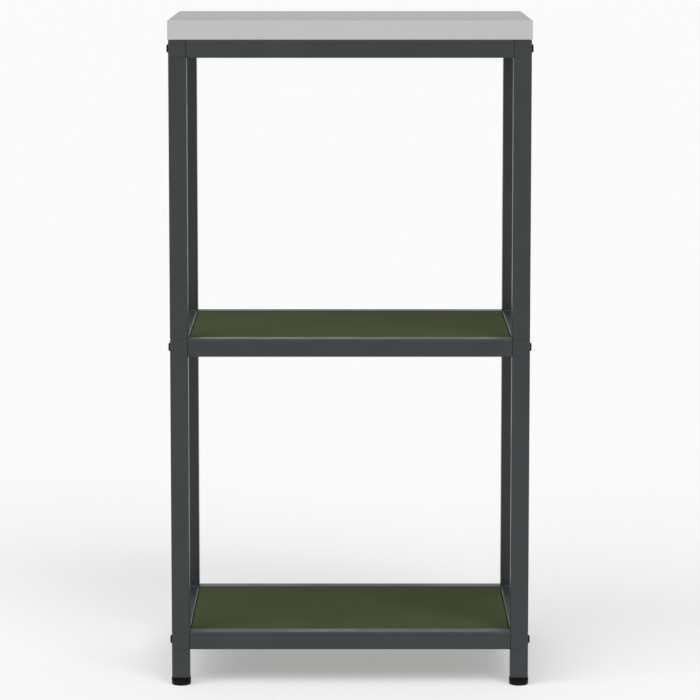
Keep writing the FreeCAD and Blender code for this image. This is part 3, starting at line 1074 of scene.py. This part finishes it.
def floor_material(base, glow):
    """Pale, with a glow that keeps the shadows on it light, and clear when it is seen from below."""
    material, tree, shader, vector = new_material("pale_floor", 0.1)
    cloud = noise(tree, vector, 1.5, 3.0)
    tone = mixed(tree, cloud, shaded(base, 0.995), shaded(base, 1.005))
    tree.links.new(tone, shader.inputs["Base Color"])
    shader.inputs["Roughness"].default_value = 0.9
    shader.inputs["Emission Color"].default_value = WHITE
    shader.inputs["Emission Strength"].default_value = glow
    below = tree.nodes.new("ShaderNodeNewGeometry").outputs["Backfacing"]
    clear = tree.nodes.new("ShaderNodeBsdfTransparent")
    mix = tree.nodes.new("ShaderNodeMixShader")
    tree.links.new(below, mix.inputs[0])
    tree.links.new(shader.outputs[0], mix.inputs[1])
    tree.links.new(clear.outputs[0], mix.inputs[2])
    tree.links.new(mix.outputs[0], tree.nodes["Material Output"].inputs["Surface"])
    return material


def studio_world(sky, backdrop):
    """Even light, brighter low down behind the bench, and plain white where the camera sees it."""
    world = bpy.data.worlds.new("studio")
    world.use_nodes = True
    tree = world.node_tree
    direction = tree.nodes.new("ShaderNodeTexCoord").outputs["Generated"]
    parts = add_node(tree, "ShaderNodeSeparateXYZ", inputs={"Vector": direction})
    behind = ranged(tree, parts.outputs["Y"], 0.0, 1.0, -0.1, 0.7)
    low_down = ranged(tree, parts.outputs["Z"], 1.0, 0.0, 0.35, 0.7)
    strength = ranged(tree, arithmetic(tree, "MULTIPLY", behind, low_down), sky, backdrop)
    light = tree.nodes["Background"]
    light.inputs["Color"].default_value = WHITE
    tree.links.new(strength, light.inputs["Strength"])
    white = add_node(tree, "ShaderNodeBackground", inputs={"Color": WHITE, "Strength": 1.0})
    seen = tree.nodes.new("ShaderNodeLightPath").outputs["Is Camera Ray"]
    mix = tree.nodes.new("ShaderNodeMixShader")
    tree.links.new(seen, mix.inputs[0])
    tree.links.new(light.outputs[0], mix.inputs[1])
    tree.links.new(white.outputs[0], mix.inputs[2])
    tree.links.new(mix.outputs[0], tree.nodes["World Output"].inputs["Surface"])
    return world


class BENCH_OT_stage(bpy.types.Operator):
    """Set out the pale floor, the soft lights and the camera"""

    bl_idname = "bench.stage"
    bl_label = "Stage"

    def execute(self, context):
        scene = context.scene
        settings = scene.bench_stage
        scene.view_settings.view_transform = "Standard"
        floor = studio_floor(settings.floor_reach)
        floor.data.materials.append(floor_material(settings.floor_colour, settings.floor_glow))
        scene.world = studio_world(settings.sky, settings.backdrop)
        for name, turn, softness, strength in (
            ("left_soft_light", settings.left_turn, settings.left_softness, settings.left_strength),
            ("right_soft_light", settings.right_turn, settings.right_softness, settings.right_strength),
        ):
            soft_light(name, settings.light_height, turn, softness, strength)
        data = bpy.data.cameras.new("view_camera")
        data.lens = settings.lens
        data.sensor_width = 36.0
        data.dof.use_dof = False
        data.clip_start, data.clip_end = 0.1, 100.0
        camera = bpy.data.objects.new("view_camera", data)
        scene.collection.objects.link(camera)
        camera.location = (0, -settings.camera_distance, settings.camera_height)
        view = Vector((0, 0, settings.aim_height)) - camera.location
        camera.rotation_euler = view.to_track_quat("-Z", "Y").to_euler()
        scene.camera = camera
        return {"FINISHED"}


# ---------------------------------------------------------------- add-on

STEPS = (
    BENCH_OT_finishes,
    BENCH_OT_carried_parts,
    BENCH_OT_weld_beads,
    BENCH_OT_lug_beads,
    BENCH_OT_spot_welds,
    BENCH_OT_worktop_sheet,
    BENCH_OT_shelf_trays,
    BENCH_OT_frame_bolts,
    BENCH_OT_screws,
    BENCH_OT_feet,
    BENCH_OT_stage,
)


class BENCH_PT_panel(bpy.types.Panel):
    """The bench's settings and its steps, in order"""

    bl_idname = "BENCH_PT_panel"
    bl_label = "Potting Bench"
    bl_space_type = "VIEW_3D"
    bl_region_type = "UI"
    bl_category = "Potting Bench"

    def draw(self, context):
        layout = self.layout
        scene = context.scene
        for group in (scene.bench_sizes, scene.bench_colours, scene.bench_stage):
            box = layout.box()
            for name in group.__annotations__:
                box.prop(group, name)
        for step in STEPS:
            layout.operator(step.bl_idname)


CLASSES = (BenchSizes, BenchColours, StageSettings, *STEPS, BENCH_PT_panel)


def register():
    for cls in CLASSES:
        bpy.utils.register_class(cls)
    bpy.types.Scene.bench_sizes = bpy.props.PointerProperty(type=BenchSizes)
    bpy.types.Scene.bench_colours = bpy.props.PointerProperty(type=BenchColours)
    bpy.types.Scene.bench_stage = bpy.props.PointerProperty(type=StageSettings)


def unregister():
    del bpy.types.Scene.bench_sizes
    del bpy.types.Scene.bench_colours
    del bpy.types.Scene.bench_stage
    for cls in reversed(CLASSES):
        bpy.utils.unregister_class(cls)


def main():
    """Registers the add-on and runs its steps in order."""
    register()
    for step in STEPS:
        family, name = step.bl_idname.split(".")
        if getattr(getattr(bpy.ops, family), name)() != {"FINISHED"}:
            raise RuntimeError(f"{step.bl_idname} didn't finish")


if __name__ == "__main__":
    main()
